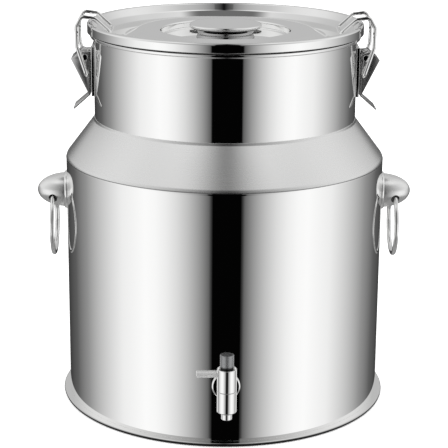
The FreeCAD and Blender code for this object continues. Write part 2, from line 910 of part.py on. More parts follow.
doc.recompute()
faulty = [item.Label for item in doc.Objects if {"Invalid", "Error"} & set(item.State)]
if faulty:
    raise RuntimeError("objects that failed: " + ", ".join(faulty))
for item in pieces:
    shape = item.Shape
    if shape.isNull() or not shape.isValid() or len(shape.Solids) != 1:
        raise RuntimeError("sub-part with a bad shape: " + item.Label)

os.makedirs("parts", exist_ok=True)
for item in pieces:
    item.Shape.exportStep("parts/%s.step" % item.Label)
    print("%-22s %10.1f mm3" % (item.Label, item.Shape.Volume))
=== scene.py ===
import math

import bmesh
import bpy
from mathutils import Matrix, Vector


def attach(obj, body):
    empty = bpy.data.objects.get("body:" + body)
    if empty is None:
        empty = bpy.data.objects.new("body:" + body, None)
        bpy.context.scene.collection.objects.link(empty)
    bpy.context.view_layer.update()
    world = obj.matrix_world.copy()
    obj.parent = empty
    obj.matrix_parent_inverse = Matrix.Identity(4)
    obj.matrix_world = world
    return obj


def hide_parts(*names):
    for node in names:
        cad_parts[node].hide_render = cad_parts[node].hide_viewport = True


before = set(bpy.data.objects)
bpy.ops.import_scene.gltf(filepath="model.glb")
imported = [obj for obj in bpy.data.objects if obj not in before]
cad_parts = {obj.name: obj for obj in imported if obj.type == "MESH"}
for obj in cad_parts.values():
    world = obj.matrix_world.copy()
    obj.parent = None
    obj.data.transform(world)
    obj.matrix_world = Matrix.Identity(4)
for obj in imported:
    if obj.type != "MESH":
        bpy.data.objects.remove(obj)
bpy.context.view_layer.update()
print("frame loaded:", len(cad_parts), "nodes")

mm = 0.001
sides = {"left": -1, "right": 1}


def addNode(tree, kind, inputs=None, **settings):
    node = tree.nodes.new(kind)
    for name, value in settings.items():
        setattr(node, name, value)
    for name, value in (inputs or {}).items():
        if isinstance(value, bpy.types.NodeSocket):
            tree.links.new(value, node.inputs[name])
        else:
            node.inputs[name].default_value = value
    return node


def grey(level):
    return (level, level, level, 1.0)


# Mixes two colours, each a plain value or a socket.
def blend(tree, factor, first, second):
    node = addNode(tree, "ShaderNodeMix", {"Factor": factor}, data_type="RGBA")
    for slot, value in ((6, first), (7, second)):
        if isinstance(value, bpy.types.NodeSocket):
            tree.links.new(value, node.inputs[slot])
        else:
            node.inputs[slot].default_value = value
    return node.outputs[2]


def newMaterial(name):
    material = bpy.data.materials.new(name)
    material.use_nodes = True
    tree = material.node_tree
    tree.nodes.clear()
    shader = addNode(tree, "ShaderNodeBsdfPrincipled")
    output = addNode(tree, "ShaderNodeOutputMaterial")
    tree.links.new(shader.outputs["BSDF"], output.inputs["Surface"])
    return material, tree, shader


# Tints and finishes of the steels. Haze is the spread of the roughness.
polish = {"tint": (0.965, 0.965, 0.96), "roughness": 0.012, "haze": 0.015, "waviness": 0.008}
fitting = {"tint": (0.93, 0.93, 0.925), "roughness": 0.24, "haze": 0.06, "waviness": 0.02}
brushed = {"tint": (0.9, 0.9, 0.895), "roughness": 0.42, "haze": 0.05, "grain": 0.02, "metal": 0.7}
# Painted shade: a darker copy of the polished steel for the knob's stem, under the cap.
knobStemShade = {"tint": (0.5, 0.5, 0.5), "roughness": 0.06, "haze": 0.04, "waviness": 0.008}
satin = {"tint": (0.9, 0.9, 0.895), "roughness": 0.27, "haze": 0.015, "grain": 0.003, "metal": 1.0}
darkStem = {"tint": (0.30, 0.305, 0.31), "roughness": 0.3, "haze": 0.1, "grain": 0.06, "metal": 0.75}
rubber = {"dark": 0.012, "light": 0.03, "roughness": 0.62, "dustScale": 180.0, "relief": 0.15,
          "depth": 0.0003}
texture = {"hazeScale": 26.0, "waveScale": 5.0, "waveDepth": 0.01, "softScale": 30.0, "grainScale": 900.0,
           "grainDepth": 0.0004}
# Bands of painted shade: dark up to one height and full tint from another, in millimetres.
paintedShadeBands = {
    "foot": {"dark": 0.02, "lower": 3.3, "upper": 4.3},
    "cap": {"dark": 0.02, "lower": 414.9, "upper": 416.0},
    "lip": {"dark": 0.3, "lower": 273.0, "upper": 273.9},
    "stem": {"dark": 0.01, "lower": 103.0, "upper": 105.0},
}


# Rolled and buffed sheet: faint haze, and very long, shallow waves.
def polishedSteel(name, sheet):
    material, tree, shader = newMaterial(name)
    place = addNode(tree, "ShaderNodeTexCoord").outputs["Object"]
    haze = addNode(tree, "ShaderNodeTexNoise", {
        "Vector": place, "Scale": texture["hazeScale"], "Detail": 4.0})
    rough = addNode(tree, "ShaderNodeMapRange", {
        "Value": haze.outputs["Fac"], "From Min": 0.3, "From Max": 0.7,
        "To Min": sheet["roughness"], "To Max": sheet["roughness"] + sheet["haze"]})
    waves = addNode(tree, "ShaderNodeTexNoise", {
        "Vector": place, "Scale": texture["waveScale"], "Detail": 1.0})
    bump = addNode(tree, "ShaderNodeBump", {
        "Height": waves.outputs["Fac"], "Strength": sheet["waviness"],
        "Distance": texture["waveDepth"]})
    shader.inputs["Base Color"].default_value = (*sheet["tint"], 1.0)
    shader.inputs["Metallic"].default_value = 1.0
    tree.links.new(rough.outputs["Result"], shader.inputs["Roughness"])
    tree.links.new(bump.outputs["Normal"], shader.inputs["Normal"])
    return material


# Steel finished on a lathe, so its fine grain runs in rings about the axis.
def spunSatinSteel(name, sheet):
    material, tree, shader = newMaterial(name)
    place = addNode(tree, "ShaderNodeTexCoord").outputs["Object"]
    split = addNode(tree, "ShaderNodeSeparateXYZ", {"Vector": place})
    flat = addNode(tree, "ShaderNodeCombineXYZ", {"X": split.outputs["X"], "Y": split.outputs["Y"]})
    radius = addNode(tree, "ShaderNodeVectorMath", {0: flat.outputs["Vector"]}, operation="LENGTH")
    rings = addNode(tree, "ShaderNodeCombineXYZ", {
        "X": radius.outputs["Value"], "Z": split.outputs["Z"]})
    grain = addNode(tree, "ShaderNodeTexNoise", {
        "Vector": rings.outputs["Vector"], "Scale": texture["grainScale"], "Detail": 3.0})
    haze = addNode(tree, "ShaderNodeTexNoise", {
        "Vector": place, "Scale": texture["softScale"], "Detail": 3.0})
    both = addNode(tree, "ShaderNodeMath", {0: grain.outputs["Fac"], 1: haze.outputs["Fac"]})
    rough = addNode(tree, "ShaderNodeMapRange", {
        "Value": both.outputs["Value"], "From Min": 0.6, "From Max": 1.4,
        "To Min": sheet["roughness"] - sheet["haze"], "To Max": sheet["roughness"] + sheet["haze"]})
    bump = addNode(tree, "ShaderNodeBump", {
        "Height": grain.outputs["Fac"], "Strength": sheet["grain"],
        "Distance": texture["grainDepth"]})
    shader.inputs["Base Color"].default_value = (*sheet["tint"], 1.0)
    shader.inputs["Metallic"].default_value = sheet["metal"]
    tree.links.new(rough.outputs["Result"], shader.inputs["Roughness"])
    tree.links.new(bump.outputs["Normal"], shader.inputs["Normal"])
    return material


def softRubber(name):
    material, tree, shader = newMaterial(name)
    place = addNode(tree, "ShaderNodeTexCoord").outputs["Object"]
    dust = addNode(tree, "ShaderNodeTexNoise", {
        "Vector": place, "Scale": rubber["dustScale"], "Detail": 5.0})
    shade = blend(tree, dust.outputs["Fac"], grey(rubber["dark"]), grey(rubber["light"]))
    bump = addNode(tree, "ShaderNodeBump", {
        "Height": dust.outputs["Fac"], "Strength": rubber["relief"], "Distance": rubber["depth"]})
    tree.links.new(shade, shader.inputs["Base Color"])
    tree.links.new(bump.outputs["Normal"], shader.inputs["Normal"])
    shader.inputs["Roughness"].default_value = rubber["roughness"]
    return material


# Paints shade into a steel below a height: a dark band where a corner or underside lies in shadow.
def paintShadeBelow(material, sheet, band):
    tree = material.node_tree
    shader = tree.nodes["Principled BSDF"]
    place = addNode(tree, "ShaderNodeTexCoord").outputs["Object"]
    height = addNode(tree, "ShaderNodeSeparateXYZ", {"Vector": place}).outputs["Z"]
    share = addNode(tree, "ShaderNodeMapRange", {
        "Value": height, "From Min": band["lower"] * mm, "From Max": band["upper"] * mm})
    shade = blend(tree, share.outputs["Result"], grey(band["dark"]), (*sheet["tint"], 1.0))
    tree.links.new(shade, shader.inputs["Base Color"])
    return material


steel = polishedSteel("polishedSteel", polish)
# Painted shade: a contact shadow along the foot, shade under the knob cap's lip, under the shoulder's lip,
# and at the tap stem's foot.
footSteel = paintShadeBelow(polishedSteel("footSteel", polish), polish, paintedShadeBands["foot"])
capSteel = paintShadeBelow(polishedSteel("capSteel", polish), polish, paintedShadeBands["cap"])
fittingSteel = polishedSteel("fittingSteel", fitting)
shadedKnobStemSteel = polishedSteel("shadedKnobStemSteel", knobStemShade)
satinSteel = paintShadeBelow(spunSatinSteel("satinSteel", satin), satin, paintedShadeBands["lip"])
stemSteel = paintShadeBelow(spunSatinSteel("stemSteel", darkStem), darkStem, paintedShadeBands["stem"])
brushedSteel = spunSatinSteel("brushedSteel", brushed)
blackRubber = softRubber("blackRubber")
print("materials made")


def newTree(name, sizes):
    tree = bpy.data.node_groups.new(name, "GeometryNodeTree")
    tree.interface.new_socket("Geometry", in_out="INPUT", socket_type="NodeSocketGeometry")
    for label, kind in sizes.items():
        tree.interface.new_socket(label, in_out="INPUT", socket_type=kind)
    tree.interface.new_socket("Geometry", in_out="OUTPUT", socket_type="NodeSocketGeometry")
    return tree, tree.nodes.new("NodeGroupInput"), tree.nodes.new("NodeGroupOutput")


def finishTree(tree, given, result, meshSocket):
    smooth = addNode(tree, "GeometryNodeSetShadeSmooth", {"Geometry": meshSocket})
    real = addNode(tree, "GeometryNodeRealizeInstances", {"Geometry": smooth.outputs[0]})
    finish = addNode(tree, "GeometryNodeSetMaterial", {
        "Geometry": real.outputs[0], "Material": given.outputs["Material"]})
    tree.links.new(finish.outputs[0], result.inputs[0])
    return tree


# Sweeps an outline, drawn at x = radius - 1 m, round a circle of 1 m.
def spinTree():
    tree, given, result = newTree("spinOutline", {
        "Segments": "NodeSocketInt", "Material": "NodeSocketMaterial"})
    outline = addNode(tree, "GeometryNodeMeshToCurve", {"Mesh": given.outputs["Geometry"]})
    circle = addNode(tree, "GeometryNodeCurvePrimitiveCircle", {
        "Resolution": given.outputs["Segments"], "Radius": 1.0})
    sweep = addNode(tree, "GeometryNodeCurveToMesh", {
        "Curve": circle.outputs[0], "Profile Curve": outline.outputs[0]})
    closed = addNode(tree, "GeometryNodeMergeByDistance", {
        "Geometry": sweep.outputs[0], "Distance": 0.000004})
    return finishTree(tree, given, result, closed.outputs[0])


# A round wire along a path, with its corners bent to one radius.
def wireTree():
    tree, given, result = newTree("bentWire", {
        "Wire Radius": "NodeSocketFloat", "Bend Radius": "NodeSocketFloat",
        "Bend Steps": "NodeSocketInt", "Material": "NodeSocketMaterial"})
    path = addNode(tree, "GeometryNodeMeshToCurve", {"Mesh": given.outputs["Geometry"]})
    bent = addNode(tree, "GeometryNodeFilletCurve", {
        "Curve": path.outputs[0], "Radius": given.outputs["Bend Radius"],
        "Count": given.outputs["Bend Steps"], "Limit Radius": True}, mode="POLY")
    section = addNode(tree, "GeometryNodeCurvePrimitiveCircle", {
        "Resolution": 24, "Radius": given.outputs["Wire Radius"]})
    sweep = addNode(tree, "GeometryNodeCurveToMesh", {
        "Curve": bent.outputs[0], "Profile Curve": section.outputs[0], "Fill Caps": True})
    return finishTree(tree, given, result, sweep.outputs[0])


spinOutline = spinTree()
bentWire = wireTree()


# Runs a tree on a line of points and keeps the result as a plain mesh.
def treePiece(name, points, closed, tree, inputs):
    count = len(points)
    edges = [(index, (index + 1) % count) for index in range(count if closed else count - 1)]
    line = bpy.data.meshes.new(name + "Line")
    line.from_pydata(points, edges, [])
    draft = bpy.data.objects.new(name + "Draft", line)
    bpy.context.scene.collection.objects.link(draft)
    modifier = draft.modifiers.new("shape", "NODES")
    modifier.node_group = tree
    for item in tree.interface.items_tree:
        if item.item_type == "SOCKET" and item.in_out == "INPUT" and item.name in inputs:
            modifier[item.identifier] = inputs[item.name]
    evaluated = draft.evaluated_get(bpy.context.evaluated_depsgraph_get())
    mesh = bpy.data.meshes.new_from_object(evaluated)
    draft.modifiers.remove(modifier)
    bpy.data.objects.remove(draft)
    return mesh


# Turns every face of a closed mesh to the outside.
def outwards(mesh):
    shape = bmesh.new()
    shape.from_mesh(mesh)
    bmesh.ops.recalc_face_normals(shape, faces=shape.faces)
    shape.to_mesh(mesh)
    shape.free()
    return mesh


# Puts a finished mesh in the scene, riding on its body. The tap stays out of
# mirror images, so the wall behind it is clean.
def keep(name, mesh, body, nodes=(), place=None):
    if place is not None:
        mesh.transform(place)
    piece = bpy.data.objects.new(name, mesh)
    piece.visible_glossy = not name.startswith("tap")
    bpy.context.scene.collection.objects.link(piece)
    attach(piece, body)
    if nodes:
        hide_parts(*nodes)
    return piece


rounded = {"support": 0.35, "steps": 6, "least": 0.12, "straight": 0.01}


# Rounds each (radius, height, rounding) corner, in millimetres. A rounding of
# None keeps the point. Extra points beside each rounding keep flat stretches flat.
def softened(corners, closed):
    points = []
    count = len(corners)
    for index, (across, up, rounding) in enumerate(corners):
        here = Vector((across, up))
        if rounding is None or (not closed and index in (0, count - 1)):
            points.append(here)
            continue
        before = Vector(corners[index - 1][:2])
        after = Vector(corners[(index + 1) % count][:2])
        into = (here - before).normalized()
        out = (after - here).normalized()
        turn = into.angle(out)
        if turn < rounded["straight"]:
            points.append(here)
            continue
        rounding = max(rounding, rounded["least"])
        reach = rounding * math.tan(turn / 2)
        start = here - into * reach
        stop = here + out * reach
        if (start - before).length > 4 * rounded["support"]:
            points.append(start - into * rounded["support"])
        for step in range(rounded["steps"] + 1):
            points.append(arcPoint(here, into, out, reach, turn, rounding, step / rounded["steps"]))
        if (after - stop).length > 4 * rounded["support"]:
            points.append(stop + out * rounded["support"])
    return points


# A point on the arc that rounds a corner, by its share of the turn.
def arcPoint(here, into, out, reach, turn, rounding, share):
    middle = (out - into).normalized()
    centre = here + middle * (rounding / math.cos(turn / 2))
    start = here - into * reach - centre
    angle = turn * share
    if into.x * out.y - into.y * out.x < 0:
        angle = -angle
    turned = Vector((
        start.x * math.cos(angle) - start.y * math.sin(angle),
        start.x * math.sin(angle) + start.y * math.cos(angle)))
    return centre + turned


# Turns an outline about the can's axis, or about the axis that place gives.
def spin(name, corners, body, material, nodes=(), closed=True, segments=256, place=None):
    points = [(point.x * mm - 1.0, -point.y * mm, 0.0) for point in softened(corners, closed)]
    mesh = treePiece(name, points, closed, spinOutline, {"Segments": segments, "Material": material})
    return keep(name, outwards(mesh), body, nodes, place)


# Lengths are in millimetres; turns are degrees up from level, round the bend.
can = {"skin": 1.2, "radius": 175.0, "bend": 10.0, "bendHeight": 270.5, "wallTurn": 16.9, "lipTurn": 12.0,
       "slopeTurn": 36.5, "lipProud": 0.4, "underTurn": 17.3,
       "footRadius": 182.0, "footInner": 169.0, "footHeight": 4.4, "footRound": 3.0, "footTopRound": 1.2,
       "panTop": 12.0, "panRound": 2.6, "crease": 316.5,
       "neckRadius": 143.2, "neckTop": 405.0, "beadRadius": 147.0, "beadTop": 409.0, "beadRound": 1.2}

spin("footRing", [
    (can["footInner"], 0.0, 0.8), (can["footRadius"], 0.0, can["footRound"]),
    (can["footRadius"], can["footHeight"], can["footTopRound"]), (can["footInner"], can["footHeight"], 0.5),
], "can", footSteel, ["foot_ring"])


# Points on the bend where the wall turns in towards the neck.
def bendRun(radius, first, last, steps=10):
    centre = can["radius"] - can["bend"]
    run = []
    for step in range(steps + 1):
        angle = math.radians(first + (last - first) * step / steps)
        run.append((centre + radius * math.cos(angle), can["bendHeight"] + radius * math.sin(angle), None))
    return run


spin("bodyWall", [
    (can["radius"] - can["skin"], can["footHeight"], 0.2), (can["radius"], can["footHeight"], 0.2),
] + bendRun(can["bend"], 0.0, can["wallTurn"]) + bendRun(can["bend"] - can["skin"], can["wallTurn"], 0.0),
    "can", steel, ["body_shell"])

panEdge = can["radius"] - can["skin"]
spin("basePan", [
    (0.0, can["panTop"] - can["skin"], 0.0),
    (panEdge - can["skin"], can["panTop"] - can["skin"], can["panRound"] - can["skin"]),
    (panEdge - can["skin"], can["footHeight"], 0.2), (panEdge, can["footHeight"], 0.2),
    (panEdge, can["panTop"], can["panRound"]), (0.0, can["panTop"], 0.0),
], "can", steel, ["base_pan"], closed=False)

lipBend = can["bend"] + can["lipProud"]
spin("shoulder", bendRun(lipBend, can["lipTurn"], can["slopeTurn"]) + [
    (can["neckRadius"] + 1.2, can["crease"] - 1.6, 3.0), (can["neckRadius"] + 0.3, can["crease"] + 1.2, 0.3),
    (can["neckRadius"] - 1.4, can["crease"], 0.3),
] + bendRun(lipBend - can["skin"], can["slopeTurn"], can["underTurn"])
    + bendRun(can["bend"], can["underTurn"], can["lipTurn"], 4),
    "can", satinSteel, ["shoulder"])

neckInner = can["neckRadius"] - can["skin"]
spin("neck", [
    (neckInner, can["crease"], 0.2), (can["neckRadius"], can["crease"], 0.2),
    (can["neckRadius"], can["neckTop"], 0.9), (can["beadRadius"], can["neckTop"], can["beadRound"]),
    (can["beadRadius"], can["beadTop"], can["beadRound"]), (neckInner, can["beadTop"], 1.2),
], "can", steel, ["neck"])
print("can made")


lid = {"radius": 150.2, "skirt": 410.4, "top": 420.7, "rimFlat": 145.5, "slope": 141.0,
       "slopeHeight": 412.5, "channelOuter": 133.8, "channelInner": 109.5, "channelFloor": 406.0,
       "plateau": 95.5, "plateauHeight": 412.5, "well": 70.5, "wellFloor": 403.6,
       "plateauInset": 0.4, "channelInset": 0.4, "channelOutset": 0.5, "slopeOutset": 1.1, "slopeDrop": 0.7,
       "rimOutset": 0.7}
knob = {"radius": 39.5, "top": 418.7, "lip": 4.7, "stemFoot": 32.0, "waist": 29.0, "waistHeight": 408.6,
        "boss": 7.0, "screwHole": 3.2, "screw": 3.0, "screwTop": 413.5, "underRim": 3.0, "crown": 4.0}

spin("lidPan", [
    (lid["radius"], lid["skirt"], 0.5), (lid["radius"], lid["top"], 2.6),
    (lid["rimFlat"], lid["top"], 2.2), (lid["slope"], lid["slopeHeight"], 5.0),
    (lid["channelOuter"], lid["channelFloor"], 4.0), (lid["channelInner"], lid["channelFloor"], 6.0),
    (lid["plateau"], lid["plateauHeight"], 7.0), (lid["well"], lid["plateauHeight"], 2.2),
    (lid["well"], lid["wellFloor"], 1.6), (knob["screwHole"], lid["wellFloor"], 0.2),
    (knob["screwHole"], lid["wellFloor"] - can["skin"], 0.2),
    (lid["well"] + can["skin"], lid["wellFloor"] - can["skin"], 2.2),
    (lid["well"] + can["skin"], lid["plateauHeight"] - can["skin"], 1.0),
    (lid["plateau"] - lid["plateauInset"], lid["plateauHeight"] - can["skin"], 5.8),
    (lid["channelInner"] - lid["channelInset"], lid["channelFloor"] - can["skin"], 7.2),
    (lid["channelOuter"] + lid["channelOutset"], lid["channelFloor"] - can["skin"], 5.2),
    (lid["slope"] + lid["slopeOutset"], lid["slopeHeight"] - lid["slopeDrop"], 3.8),
    (lid["rimFlat"] + lid["rimOutset"], lid["top"] - can["skin"], 1.0),
    (lid["radius"] - can["skin"], lid["top"] - can["skin"], 1.4),
    (lid["radius"] - can["skin"], lid["skirt"], 0.4),
], "lid", steel, ["lid_pan"])

gasket = {"inner": 143.4, "outer": 148.7, "bottom": 409.3, "shoulder": 418.0,
          "top": 419.2, "topRadius": 147.3, "step": 413.0}

spin("lidGasket", [
    (gasket["inner"], gasket["bottom"], 0.6), (gasket["outer"], gasket["bottom"], 0.6),
    (gasket["outer"], gasket["shoulder"], 0.4), (gasket["topRadius"], gasket["top"], 0.3),
    (gasket["inner"], gasket["step"], 0.4),
], "lid", blackRubber, ["lid_gasket"])

knobUnder = knob["top"] - knob["lip"]
spin("knobCap", [
    (0.0, knob["screwTop"], 0.0), (knob["screw"], knob["screwTop"], 0.2),
    (knob["screw"], lid["wellFloor"], 0.2), (knob["boss"], lid["wellFloor"], 0.4),
    (knob["boss"], knobUnder, 0.8), (knob["radius"] - knob["underRim"], knobUnder, 0.8),
    (knob["radius"], knobUnder, 2.2),
    (knob["radius"], knob["top"], 2.2), (knob["radius"] - knob["crown"], knob["top"], 3.0),
    (0.0, knob["top"], 0.0),
], "lid", capSteel, ["knob_cap"], closed=False, segments=160)

# The stem's steel is a darker copy of the polished steel: painted shade under the knob cap.
spin("knobStem", [
    (knob["stemFoot"] - can["skin"], lid["wellFloor"], 0.3), (knob["stemFoot"], lid["wellFloor"], 0.4),
    (knob["waist"], knob["waistHeight"], 5.0), (knob["stemFoot"] + can["skin"], knobUnder, 0.2),
    (knob["stemFoot"], knobUnder, 0.2), (knob["waist"] - can["skin"], knob["waistHeight"], 4.0),
], "lid", shadedKnobStemSteel, ["knob_stem"], segments=128)
print("lid made")


tap = {"out": 215.0, "shankHeight": 68.0, "shank": 8.0, "shankEnd": 158.0, "inlet": 4.5,
       "barrel": 10.0, "barrelBottom": 55.0, "barrelTop": 77.1, "seat": 7.05, "seatFloor": 56.5,
       "nozzle": 5.5, "nozzleBottom": 46.6, "bore": 4.0, "taper": 2.3,
       "plug": 7.0, "plugBottom": 56.7, "portTop": 72.5, "stemTop": 116.4,
       "sleeveBottom": 77.4, "sleeveTop": 101.3, "dish": 9.2, "dishDepth": 2.4,
       "rod": 3.85, "rodHeight": 95.5, "rodReach": 31.0,
       "flange": 14.75, "flangeOut": 181.0, "flangeThick": 4.0}

upright = Matrix.Translation((0.0, -tap["out"] * mm, 0.0))
level = Matrix.Translation((0.0, 0.0, tap["shankHeight"] * mm)) @ Matrix.Rotation(math.radians(90), 4, "X")
sideways = (Matrix.Translation((0.0, -tap["out"] * mm, tap["rodHeight"] * mm))
            @ Matrix.Rotation(math.radians(-90), 4, "Y"))

spin("tapBarrel", [
    (tap["seat"], tap["barrelTop"], 0.2), (tap["seat"], tap["seatFloor"], 0.2),
    (tap["bore"], tap["seatFloor"], 0.2),
    (tap["bore"], tap["nozzleBottom"], 0.4), (tap["nozzle"], tap["nozzleBottom"], 0.5),
    (tap["nozzle"], tap["barrelBottom"] - tap["taper"], 0.4), (tap["barrel"], tap["barrelBottom"], 0.8),
    (tap["barrel"], tap["barrelTop"], 0.45),
], "can", steel, ["tap_body"], segments=96, place=upright)

spin("tapShank", [
    (tap["inlet"], tap["shankEnd"], 0.4), (tap["shank"], tap["shankEnd"], 0.5),
    (tap["shank"], tap["out"] - tap["shank"], 0.3), (tap["inlet"], tap["out"] - tap["shank"], 0.3),
], "can", steel, segments=72, place=level)

flangeBack = tap["flangeOut"] - tap["flangeThick"]
spin("tapFlange", [
    (tap["shank"], flangeBack, 0.2), (tap["flange"], flangeBack, 0.4),
    (tap["flange"], tap["flangeOut"] - 1.0, 0.5),
    (tap["flange"] - 1.2, tap["flangeOut"], 0.5), (tap["shank"] + 1.6, tap["flangeOut"], 0.3),
    (tap["shank"], tap["flangeOut"] - 0.6, 0.2),
], "can", steel, ["tap_flange"], segments=96, place=level)

spin("tapSleeve", [
    (tap["plug"], tap["sleeveBottom"], 0.2), (tap["barrel"], tap["sleeveBottom"], 0.45),
    (tap["barrel"], tap["sleeveTop"], 0.7), (tap["dish"], tap["sleeveTop"], 0.4),
    (tap["dish"] - 0.6, tap["sleeveTop"] - tap["dishDepth"], 0.3),
    (tap["plug"], tap["sleeveTop"] - tap["dishDepth"], 0.2),
], "tap_handle", steel, ["tap_sleeve"], segments=96, place=upright)

spin("tapSpindle", [
    (0.0, tap["portTop"], 0.0), (tap["bore"], tap["portTop"], 0.2),
    (tap["bore"], tap["plugBottom"], 0.2), (tap["plug"], tap["plugBottom"], 0.2),
    (tap["plug"], tap["stemTop"], 0.9), (0.0, tap["stemTop"], 0.0),
], "tap_handle", stemSteel, ["tap_spindle"], closed=False, segments=96, place=upright)

spin("tapRod", [
    (0.0, tap["plug"], 0.0), (tap["rod"], tap["plug"], 0.2), (tap["rod"], tap["rodReach"], 0.9),
    (0.0, tap["rodReach"], 0.0),
], "tap_handle", brushedSteel, ["tap_rod"], closed=False, segments=64, place=sideways)
print("tap made")


handle = {"domeHeight": 232.0, "domeReach": 33.0, "domeHalfWidth": 20.0, "domeHalfHeight": 19.0,
          "domeSkin": 1.2, "saddleHalfWidth": 22.5, "saddleHalfHeight": 21.0, "saddleThick": 3.0,
          "ringRadius": 35.0, "ringWire": 2.5, "ringOut": 190.0, "ringCentre": 195.0,
          "holeHeight": 225.6, "holeRadius": 4.8, "drill": 80.0, "sink": 0.3,
          "saddleSteps": 96, "domeSteps": 28, "ringSteps": 128}
# The saddle's section from its middle to its edge: share of its width, share of its thickness.
saddleLayers = [(0.0, 1.0), (0.5, 1.0), (0.9, 1.0), (0.965, 0.97), (0.99, 0.75), (1.0, 0.35), (1.0, 0.0)]


# An oval sheet that follows the can's wall, with a softened edge.
def saddlePlate(side, sign):
    shape = bmesh.new()
    around = handle["saddleSteps"]
    rings = []
    for share, lift in saddleLayers:
        ring = []
        for step in range(around):
            angle = math.tau * step / around
            across = handle["saddleHalfWidth"] * share * math.cos(angle)
            up = handle["saddleHalfHeight"] * share * math.sin(angle)
            reach = can["radius"] - handle["sink"] + (handle["saddleThick"] + handle["sink"]) * lift
            out = math.sqrt(reach ** 2 - across ** 2)
            ring.append(shape.verts.new((out * sign * mm, across * mm, (handle["domeHeight"] + up) * mm)))
        rings.append(ring)
    for inner, outer in zip(rings, rings[1:]):
        for step in range(around):
            after = (step + 1) % around
            shape.faces.new((inner[step], outer[step], outer[after], inner[after]))
    shape.faces.new(rings[-1])
    bmesh.ops.remove_doubles(shape, verts=shape.verts, dist=0.00001)
    bmesh.ops.recalc_face_normals(shape, faces=shape.faces)
    mesh = bpy.data.meshes.new("saddle")
    shape.to_mesh(mesh)
    shape.free()
    mesh.materials.append(steel)
    mesh.polygons.foreach_set("use_smooth", [len(face.vertices) < 5 for face in mesh.polygons])
    keep("handlePlate." + side, mesh, "can", ["handle_%s_plate" % side])


# Cuts a round hole along Y through a mesh.
def drill(mesh, radius, centre, length):
    tool = bpy.data.meshes.new("drill")
    shape = bmesh.new()
    turn = Matrix.Translation(centre) @ Matrix.Rotation(math.radians(90), 4, "X")
    bmesh.ops.create_cone(shape, cap_ends=True, segments=48, radius1=radius, radius2=radius,
                          depth=length, matrix=turn)
    shape.to_mesh(tool)
    shape.free()
    blank = bpy.data.objects.new("blank", mesh)
    bit = bpy.data.objects.new("bit", tool)
    for item in (blank, bit):
        bpy.context.scene.collection.objects.link(item)
    cutter = blank.modifiers.new("hole", "BOOLEAN")
    cutter.object = bit
    cutter.solver = "EXACT"
    bpy.context.view_layer.update()
    drilled = bpy.data.meshes.new_from_object(blank.evaluated_get(bpy.context.evaluated_depsgraph_get()))
    for item in (blank, bit):
        bpy.data.objects.remove(item)
    return drilled


# Half of a hollow ellipsoid; the ring passes through a hole at each end.
def dome(side, sign):
    arc = handle["domeSteps"]
    outer = []
    inner = []
    for step in range(arc + 1):
        angle = math.radians(90) * step / arc
        for line, wall in ((outer, 0.0), (inner, handle["domeSkin"])):
            line.append(((handle["domeHalfWidth"] - wall) * math.cos(angle),
                         (handle["domeReach"] - wall) * math.sin(angle)))
    outer[-1] = (0.0, outer[-1][1])
    inner[-1] = (0.0, inner[-1][1])
    base = [(handle["domeHalfWidth"], -1.0), (handle["domeHalfWidth"] - handle["domeSkin"], -1.0)]
    line = list(reversed(outer)) + base + inner
    points = [(across * mm - 1.0, -up * mm, 0.0) for across, up in line]
    mesh = treePiece("domeDraft", points, False, spinOutline, {"Segments": 128, "Material": fittingSteel})
    squash = Matrix.Diagonal((handle["domeHalfHeight"] / handle["domeHalfWidth"], 1.0, 1.0, 1.0))
    lay = Matrix.Rotation(math.radians(90 * sign), 4, "Y")
    seat = Matrix.Translation((sign * can["radius"] * mm, 0.0, handle["domeHeight"] * mm))
    mesh.transform(seat @ lay @ squash)
    outwards(mesh)
    centre = Vector((sign * handle["ringOut"] * mm, 0.0, handle["holeHeight"] * mm))
    mesh = drill(mesh, handle["holeRadius"] * mm, centre, handle["drill"] * mm)
    mesh.shade_smooth()
    mesh.set_sharp_from_angle(angle=math.radians(35))
    keep("handleDome." + side, mesh, "can", ["handle_%s_dome" % side])


def ringHandle(side, sign):
    steps = handle["ringSteps"]
    points = []
    for step in range(steps):
        angle = math.tau * step / steps
        points.append((sign * handle["ringOut"] * mm, handle["ringRadius"] * math.cos(angle) * mm,
                       (handle["ringCentre"] + handle["ringRadius"] * math.sin(angle)) * mm))
    mesh = treePiece("ring", points, True, bentWire, {
        "Wire Radius": handle["ringWire"] * mm, "Bend Radius": 0.0, "Bend Steps": 1, "Material": steel})
    keep("handleRing." + side, outwards(mesh), "handle_%s_ring_body" % side,
         ["handle_%s_ring" % side])


for side, sign in sides.items():
    saddlePlate(side, sign)
    dome(side, sign)
    ringHandle(side, sign)
print("ring handles made")


clasp = {"wire": 2.0, "bend": 4.4, "halfWidth": 21.0, "footEnd": 14.0, "footOut": 150.0, "footHeight": 363.5,
         "armPoints": [(10, 31.5), (10.5, 53.5), (4.5, 64.5), (-10, 62.5), (-26.5, 47.5)]}


# Foot in the lever, up the arm, over the rim, across, and back down.
def bailPath(sign):
    foot = (clasp["footOut"], clasp["footHeight"])
    arm = [(foot[0], clasp["footEnd"], foot[1]), (foot[0], clasp["halfWidth"], foot[1])]
    for out, up in clasp["armPoints"]:
        arm.append((foot[0] + out, clasp["halfWidth"], foot[1] + up))
    other = [(out, -across, up) for out, across, up in reversed(arm)]
    return [(sign * out * mm, across * mm, up * mm) for out, across, up in arm + other]


ease = {"edge": 0.35, "fineEdge": 0.2, "finestEdge": 0.05, "steps": 3, "sharpFrom": 40}


